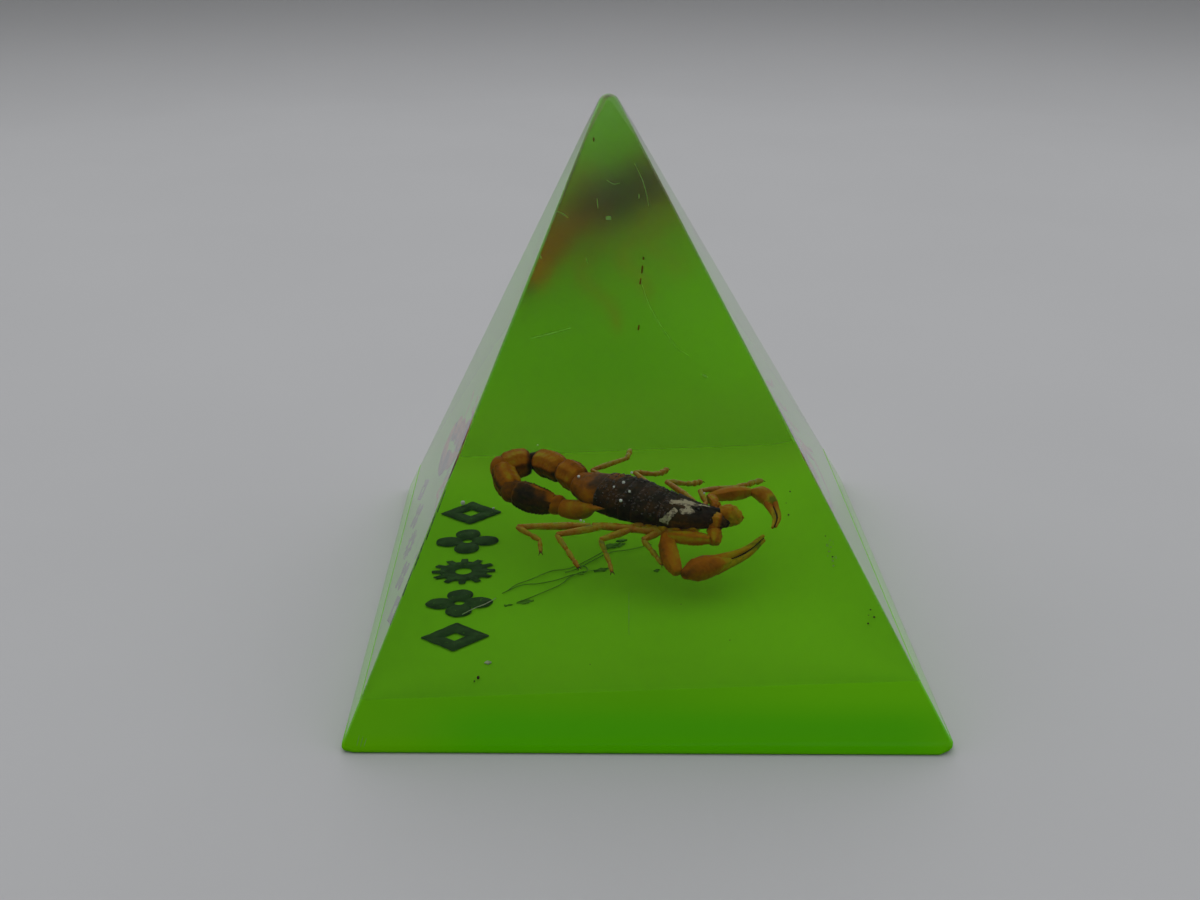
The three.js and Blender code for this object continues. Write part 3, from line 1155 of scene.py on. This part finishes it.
def add_chelicerae():
    skin = Skin()
    for k, (line, half, darker) in enumerate(CHELICERAE):
        def tone(share, angle):
            hollow = 0.12 * fade(share, 0.25, 0.2) * fade(angle, 60, 50)
            return 0.78 - hollow - darker * rise(share, 0.5, 0.75)

        loft(skin, line, half, None, BODY_UP, tone, KNOB_KEELS, 0.92, rings=26, sides=36,
             grit=0.12, seed=71 + k)
        end = np.array(line[-1])
        for drop, reach in ((0.25, 0.7), (-0.3, 0.55)):
            steps = ((0.0, 0.0, drop), (reach * 0.6, -0.1, drop * 0.9), (reach, -0.15, drop * 0.1))
            claw = [tuple(end + step) for step in steps]
            loft(skin, claw, CLAW_SIZES, tone=0.12 if k else 0.66, rings=14, sides=14)
    skin.make("scorpion_chelicerae", chitin)


# ---------------------------------------------------------------- scorpion: legs and underside

NEAR_LEGS = [    # joints from the hip to the foot, front leg first
    [(6.6, -7.2, 13.8), (5.0, -7.5, 13.6), (2.8, -7.1, 13.7), (0.4, -8.1, 13.0), (1.4, -8.9, 12.1),
     (2.1, -9.7, 11.5), (2.7, -10.4, 10.9)],
    [(4.8, -7.0, 13.8), (2.8, -7.1, 13.6), (-0.9, -6.8, 13.8), (-4.8, -8.1, 13.0), (-4.2, -9.2, 11.9),
     (-3.7, -10.3, 11.1), (-3.4, -11.3, 10.4)],
    [(3.0, -6.6, 13.9), (0.9, -6.8, 13.7), (-4.1, -6.4, 14.0), (-10.2, -7.5, 13.4), (-8.9, -9.1, 12.2),
     (-8.1, -10.2, 11.4), (-7.5, -10.9, 10.8)],
    [(1.2, -6.0, 14.0), (-1.2, -6.5, 13.8), (-5.8, -6.2, 14.0), (-15.1, -6.2, 13.8), (-13.4, -7.1, 13.2),
     (-12.2, -7.8, 12.8), (-12.1, -9.1, 11.9)],
]
FAR_LEGS = [
    [(7.7, -4.2, 14.6), (8.4, -2.4, 15.2), (7.7, -0.2, 15.8), (12.5, 4.0, 14.2), (14.2, 6.0, 13.6),
     (15.3, 7.3, 13.3), (16.2, 8.3, 13.0)],
    [(6.6, -3.6, 14.5), (6.9, -1.2, 14.9), (3.6, 3.6, 15.2), (6.2, 5.6, 13.9), (7.1, 6.4, 13.5),
     (7.8, 7.1, 13.3), (8.3, 7.6, 13.2)],
    [(5.0, -2.8, 14.4), (2.4, 1.8, 14.7), (-0.4, 6.3, 15.2), (2.0, 7.4, 14.4), (3.0, 8.4, 14.0),
     (3.6, 9.6, 13.7), (4.0, 10.8, 13.4)],
    [(3.6, -2.2, 14.4), (0.6, 0.2, 14.5), (-3.6, 4.8, 14.7), (-5.9, 8.0, 14.7), (-1.3, 12.3, 14.3),
     (-1.0, 13.9, 14.1), (-0.8, 15.4, 14.0)],
]
NEAR_LEG_HALVES = [0.50, 0.44, 0.40, 0.34, 0.32, 0.29]
FAR_LEG_HALVES = [0.40, 0.36, 0.32, 0.31, 0.35, 0.36]
NEAR_LEG_TONES = [0.73, 0.75, 0.77, 0.78, 0.79, 0.77]
FAR_LEG_TONES = [0.70, 0.72, 0.74, 0.75, 0.76, 0.74]
LEG_WIDTHS = (0.72, 1.05, 0.95, 0.8)        # along a segment, times its half size
LEG_HEIGHTS = (0.8, 1.25, 1.1, 0.85)
HIP_SHARES = (0.60, 0.68, 0.76, 0.85)       # of the body's length
COMB_TEETH = 14
COMB_TOOTH = (-0.55, -0.25, -0.12)


def add_leg(skin, joints, tones, halves):
    """One leg from its hip to its two claws."""
    for k, (start, end, size, base) in enumerate(zip(joints, joints[1:], halves, tones)):
        def tone(share, angle):
            return base + 0.05 * wave(angle, 2) - 0.12 * fade(share, 1.0, 0.06)

        line = [between(start, end, share) for share in (0.03, 0.5, 0.98)]
        wide, high = ([size * f for f in shape] for shape in (LEG_WIDTHS, LEG_HEIGHTS))
        loft(skin, line, wide, high, tone=tone, rings=18, sides=18, cap=0.5, grit=0.015, seed=80 + k)
    foot = np.array(joints[-1])
    way = foot - np.array(joints[-2])
    way /= np.linalg.norm(way)
    aside = np.cross(way, (0, 0, 1))
    for sign in (-1, 1):
        bend = foot + 0.26 * way + 0.2 * sign * aside
        tip = foot + 0.4 * way + 0.34 * sign * aside - (0, 0, 0.12)
        loft(skin, [tuple(p) for p in (foot, bend, tip)], [0.10, 0.07, 0.02], tone=0.3, rings=8, sides=8)


def add_legs():
    for name, legs, tones, halves in (
        ("scorpion_legs_near", NEAR_LEGS, NEAR_LEG_TONES, NEAR_LEG_HALVES),
        ("scorpion_legs_far", FAR_LEGS, FAR_LEG_TONES, FAR_LEG_HALVES),
    ):
        skin = Skin()
        for joints in legs:
            add_leg(skin, joints, tones, halves)
        skin.make(name, leg_chitin)


def add_underside():
    """Hip pieces round the breastplate, and the two combs behind the last legs."""
    hips, combs = Skin(), Skin()
    for k, share in enumerate(HIP_SHARES):
        for near in (-1, 1):
            line = [body_at(share + 0.02, 0.25 * near, -0.95), body_at(share - 0.01, 0.9 * near, -0.75)]
            loft(hips, line, [0.62, 0.7], [0.5, 0.55], tone=0.74, rings=10, grit=0.05, seed=100 + k)
    loft(hips, [body_at(0.62, 0, -1.0), body_at(0.72, 0, -0.98)], [0.5, 0.35], 0.3, rings=8, sides=16)
    for near in (-1, 1):
        start, end = body_at(0.58, 0.1 * near, -1.02), body_at(0.50, 0.85 * near, -0.92)
        loft(combs, [start, end], [0.22, 0.12], [0.2, 0.12], tone=0.78, rings=12, sides=12)
        for k in range(COMB_TEETH):
            root = np.array(between(start, end, 0.1 + 0.06 * k))
            loft(combs, [tuple(root), tuple(root + COMB_TOOTH)], [0.07, 0.05], tone=0.82, rings=4, sides=8)
    hips.make("scorpion_hips", chitin)
    combs.make("scorpion_combs", chitin)


add_belly()
add_tergites()
add_granules()
add_carapace()
add_eyes()
add_tail()
add_telson()
add_pincer("scorpion_pincer_near", **NEAR_PINCER)
add_pincer("scorpion_pincer_far", **FAR_PINCER)
add_chelicerae()
add_legs()
add_underside()


# ---------------------------------------------------------------- bubbles, fibres and specks in the resin

BUBBLES = [    # (middle, radius)
    ((-1.9, -2.5, 18.1), 0.19), ((-3.1, -3.5, 18.0), 0.12), ((-1.2, -5.2, 18.2), 0.15),
    ((-2.3, -7.1, 17.9), 0.19), ((-0.8, 1.9, 17.3), 0.15), ((-7.5, 0.6, 17.4), 0.18),
    ((-12.9, 10.1, 17.3), 0.08), ((-7.2, -6.4, 14.8), 0.15), ((-6.8, -6.5, 14.7), 0.09),
    ((8.2, -1.3, 16.0), 0.12), ((-19.0, 13.2, 6.5), 0.14), ((-23.2, 14.8, 6.5), 0.28),
]
FIBRES = [    # routes over the green, as (x, y)
    [(-16.4, -8.8), (-15.2, -7.1), (-13.6, -6.0), (-11.0, -3.9), (-9.4, -3.6), (-8.0, -2.9), (-5.5, -0.4),
     (-3.4, 2.0), (-2.2, 3.1)],
    [(-15.0, -11.6), (-13.4, -10.5), (-9.8, -7.5), (-8.6, -5.6), (-7.1, -4.4), (-4.8, -3.9)],
    [(-16.9, -9.2), (-14.6, -7.3), (-12.4, -7.0), (-10.2, -6.2), (-8.2, -5.0), (-6.9, -4.9)],
    [(-9.2, -4.4), (-7.6, -3.4), (-5.2, -0.9), (-3.4, 0.6), (-1.0, 1.2), (1.8, 2.4)],
    [(-6.8, -4.6), (-6.4, -4.0), (-6.6, -3.1), (-7.4, -2.7)],
]
FIBRE_HALF = 0.055
FIBRE_LIFT = 0.12
BLOTS = [      # soft dark flat marks on the green, as (x, y, half length, half width)
    (-3.0, 2.6, 1.5, 0.7), (-4.6, -3.8, 0.95, 0.42), (2.3, -4.3, 0.35, 0.3), (-14.0, -11.3, 1.0, 0.5),
    (-16.0, -12.0, 0.5, 0.2), (-2.0, 3.9, 0.7, 0.4), (-7.2, -4.3, 0.3, 0.14),
]
BLOT_SLANT = 0.3
THIN_HALF = 0.06           # half thickness of a dark mark and of a flake
SPECKS = [     # dark grains, as (x, y, radius)
    (27.6, -15.9, 0.12), (26.9, -19.2, 0.14), (27.8, -17.8, 0.16), (27.2, -17.2, 0.09), (20.8, 16.2, 0.12),
    (20.0, 9.4, 0.14), (20.0, 12.9, 0.08), (-18.8, -28.9, 0.2), (-19.2, -29.5, 0.12), (24.2, 3.2, 0.1),
    (24.5, -2.4, 0.12), (10.4, -22.0, 0.07), (-6.0, -26.5, 0.06), (16.2, 4.0, 0.07), (5.0, -13.2, 0.06),
]
PALE_CLUSTER = dict(middle=(24.4, -1.2), reach=(0.5, 3.6), count=26)
PALE_FLAKE = [(-18.25, -25.4, 0.12), (-17.9, -25.35, 0.15), (-17.5, -25.3, 0.12)]      # (x, y, lift)
PALE_FIBRE = [(-21.5, -14.4), (-20.0, -12.9), (-18.8, -12.0), (-17.6, -10.7)]


def on_green(x, y, lift=0.0):
    return (x, y, pour_height(x, y) + lift)


def add_bubbles():
    skin = Skin()
    for middle, radius in BUBBLES:
        bead(skin, middle, radius, 0.9, sides=16)
    # The bubbles are opaque pale beads: their white is a painted reflection, standing for the light an air
    # bubble reflects.
    finish = mottled_material("bubble_painted_glint", (0.85, 0.87, 0.84), (0.70, 0.72, 0.68), 2600.0, 0.2, 0.5)
    skin.make("resin_bubbles", finish)


def add_fibres():
    skin = Skin()
    for route in FIBRES:
        line = [on_green(x, y, FIBRE_HALF + FIBRE_LIFT) for x, y in route]
        loft(skin, line, FIBRE_HALF, rings=80, sides=8)
    finish = mottled_material("fibre_finish", (0.07, 0.22, 0.012), (0.13, 0.34, 0.02), 500.0, 0.6)
    skin.make("trapped_fibres", finish)


def add_blots():
    skin = Skin()
    for k, (x, y, long_half, half) in enumerate(BLOTS):
        steps = ((-long_half, 0.05), (0.0, 0.08), (long_half, 0.05))
        line = [on_green(x + step, y + BLOT_SLANT * step, lift) for step, lift in steps]
        wide = [0.15 * half, half, 0.8 * half, 0.1 * half]
        loft(skin, line, wide, THIN_HALF, rings=24, grit=0.14, seed=200 + k)
    finish = mottled_material("dark_mark_finish", (0.06, 0.20, 0.008), (0.09, 0.28, 0.01), 900.0, 0.7)
    skin.make("dark_marks_on_green", finish)


def add_specks():
    dark, pale = Skin(), Skin()
    for k, (x, y, radius) in enumerate(SPECKS):
        bead(dark, on_green(x, y, radius + 0.1), radius, 0.1, 0.7, sides=8, grit=0.3 * radius, seed=k)
    draw = random.Random(5)
    for k in range(PALE_CLUSTER["count"]):
        x = draw.gauss(PALE_CLUSTER["middle"][0], 0.5 * PALE_CLUSTER["reach"][0])
        y = draw.uniform(-1, 1) * PALE_CLUSTER["reach"][1] + PALE_CLUSTER["middle"][1]
        bead(pale, on_green(x, y, 0.2), draw.uniform(0.04, 0.09), 0.9, 0.6, 6)
    loft(pale, [on_green(x, y, 0.35) for x, y in PALE_FIBRE], 0.05, rings=30, sides=8)
    flake = [on_green(*place) for place in PALE_FLAKE]
    loft(pale, flake, [0.15, 0.45, 0.2], THIN_HALF, rings=12, sides=14, grit=0.08, seed=9)
    finish = mottled_material("speck_finish", (0.03, 0.035, 0.01), (0.06, 0.03, 0.015), 3000.0, 0.6)
    dark.make("dark_specks", finish)
    finish = mottled_material("flake_finish", (0.45, 0.48, 0.33), (0.28, 0.42, 0.18), 1500.0, 0.7)
    pale.make("pale_flakes", finish)


# ---------------------------------------------------------------- printed ornaments on the green

MARK_COLUMN = (-22.0, 12.9)       # middle of the farthest ornament
MARK_STEP = (-0.02, -8.05)        # from one to the next
MARK_HALF = (4.1, 3.3)
MARK_LIFT = 0.12
MARK_THICK = 0.05
MARK_POINTS = 96
MARK_RAGGED = 0.02
INK_LIGHT = (0.037, 0.104, 0.022)
INK_DARK = (0.021, 0.064, 0.014)
INK_PINHOLE = (0.10, 0.30, 0.02)


def diamond_edge(turn):
    return 1.0 / (abs(math.cos(turn)) + abs(math.sin(turn)))


def petal_edge(turn):
    return 0.40 + 0.60 * abs(math.cos(2 * turn)) ** 0.7


def sun_edge(turn):
    return 0.98 if math.cos(12 * turn) > 0.1 else 0.74


def round_edge(turn):
    return 1.0


DIAMOND = (diamond_edge, diamond_edge, 0.30)      # outer edge, inner edge and inner size
FLOWER = (petal_edge, round_edge, 0.15)
SUN = (sun_edge, round_edge, 0.26)
ORNAMENTS = [DIAMOND, FLOWER, SUN, FLOWER, DIAMOND]      # far to near


def add_ornament(skin, middle, outer, inner, inner_size, seed):
    """A thin printed plate with a hole, its edges slightly ragged."""
    turns = 2 * np.pi * (np.arange(MARK_POINTS) + 0.5) / MARK_POINTS
    inner_edge, outer_edge = (inner, inner_size), (outer, 1.0)
    loops = []
    for (edge, size), lift in (
        (outer_edge, 0.0), (outer_edge, MARK_THICK), (inner_edge, MARK_THICK), (inner_edge, 0.0),
    ):
        sizes = np.array([size * edge(t) for t in turns])
        flat = np.stack([MARK_HALF[0] * sizes * np.cos(turns), MARK_HALF[1] * sizes * np.sin(turns)], axis=1)
        waves = bumps(np.pad(flat, ((0, 0), (0, 1))), 1.3, seed)
        flat *= (1 + MARK_RAGGED * waves)[:, None]
        ring = [on_green(middle[0] + x, middle[1] + y, MARK_LIFT + lift) for x, y in flat]
        loops.append(skin.ring(ring, [0.5] * MARK_POINTS))
    for first, second in zip(loops, loops[1:] + loops[:1]):
        skin.bridge(first, second)


def ink_material():
    """Print ink, thin and worn through in small spots."""
    made, tree = new_material("print_ink")
    shade = mix_colour(tree, mottle(tree, 700.0, 0.25, 0.75), INK_LIGHT, INK_DARK)
    shade = mix_colour(tree, mottle(tree, 2400.0, 0.66, 0.74), shade, INK_PINHOLE)
    surface(tree, Base_Color=shade, Roughness=0.7, Specular_IOR_Level=0.05)
    return made


def add_ornaments():
    skin = Skin()
    for k, ornament in enumerate(ORNAMENTS):
        middle = (MARK_COLUMN[0] + k * MARK_STEP[0], MARK_COLUMN[1] + k * MARK_STEP[1])
        add_ornament(skin, middle, *ornament, seed=300 + k)
    skin.make("printed_ornaments", ink_material())


# ---------------------------------------------------------------- wear on the front face

SCRATCHES = [      # routes over the front face as (x, z), with a half width
    ([(-0.9, 60.1), (0.0, 58.4), (0.5, 56.8), (0.7, 55.7)], 0.04),
    ([(-5.2, 56.5), (-5.1, 55.5)], 0.05),
    ([(-9.8, 55.2), (-9.1, 54.9), (-8.5, 54.5)], 0.06),
    ([(-4.1, 58.4), (-3.3, 58.0), (-2.6, 58.1)], 0.035),
    ([(-0.4, 57.0), (-0.4, 56.5)], 0.06),
    ([(-12.8, 42.1), (-10.6, 42.6), (-8.2, 43.2)], 0.05),
    ([(-0.1, 47.7), (1.0, 45.1), (3.6, 41.5), (5.3, 40.4)], 0.022),
    ([(6.7, 38.5), (7.4, 38.2)], 0.10),
    ([(-1.6, 16.4), (-1.6, 12.1)], 0.03),
    ([(-6.5, 50.4), (-6.3, 49.9)], 0.05),
    ([(-11.7, 50.6), (-11.6, 50.3)], 0.08),
    ([(-32.3, 0.9), (-32.0, 2.0)], 0.04),
    ([(-31.9, 0.8), (-31.6, 1.9)], 0.04),
    ([(-31.5, 0.8), (-31.2, 1.7)], 0.04),
]
SCRATCH_THICK = 0.012
PALE_DOT = [(-4.2, 54.5), (-3.6, 54.5)]
PALE_DOT_HALF = 0.24
RUSTY_DASHES = [
    [(0.1, 50.5), (0.1, 50.2)],
    [(0.0, 49.6), (-0.1, 48.8)],
    [(-0.2, 48.3), (-0.3, 47.7)],
    [(-0.4, 43.5), (-0.5, 43.0)],
    [(-5.6, 62.8), (-5.6, 62.4)],
]
RUSTY_HALF = 0.09


def on_front(route):
    """A route over the front face, from its (x, z) points."""
    normal, offset = FRONT
    return [(x, (offset - normal.x * x - normal.z * z) / normal.y, z) for x, z in route]


def add_wear():
    scratched, rusty = Skin(), Skin()
    up = tuple(FRONT[0])
    for route, half in SCRATCHES:
        wide = [0.4 * half, half, 0.4 * half]
        loft(scratched, on_front(route), wide, SCRATCH_THICK, up, rings=24, sides=8)
    wide = [PALE_DOT_HALF * f for f in (0.7, 1.0, 0.8)]
    loft(scratched, on_front(PALE_DOT), wide, SCRATCH_THICK, up, rings=10, sides=16, grit=0.03, seed=430)
    for k, route in enumerate(RUSTY_DASHES):
        loft(rusty, on_front(route), RUSTY_HALF, SCRATCH_THICK, up, rings=8, sides=8,
             grit=0.01, seed=440 + k)
    finish = mottled_material("scratch_white", (0.21, 0.40, 0.11), (0.15, 0.36, 0.05), 1800.0, 0.6)
    scratched.make("front_scratches", finish)
    finish = mottled_material("rusty_stain", (0.12, 0.03, 0.004), (0.07, 0.028, 0.006), 2600.0, 0.7)
    rusty.make("rusty_dashes", finish)


add_bubbles()
add_fibres()
add_blots()
add_specks()
add_ornaments()
add_wear()
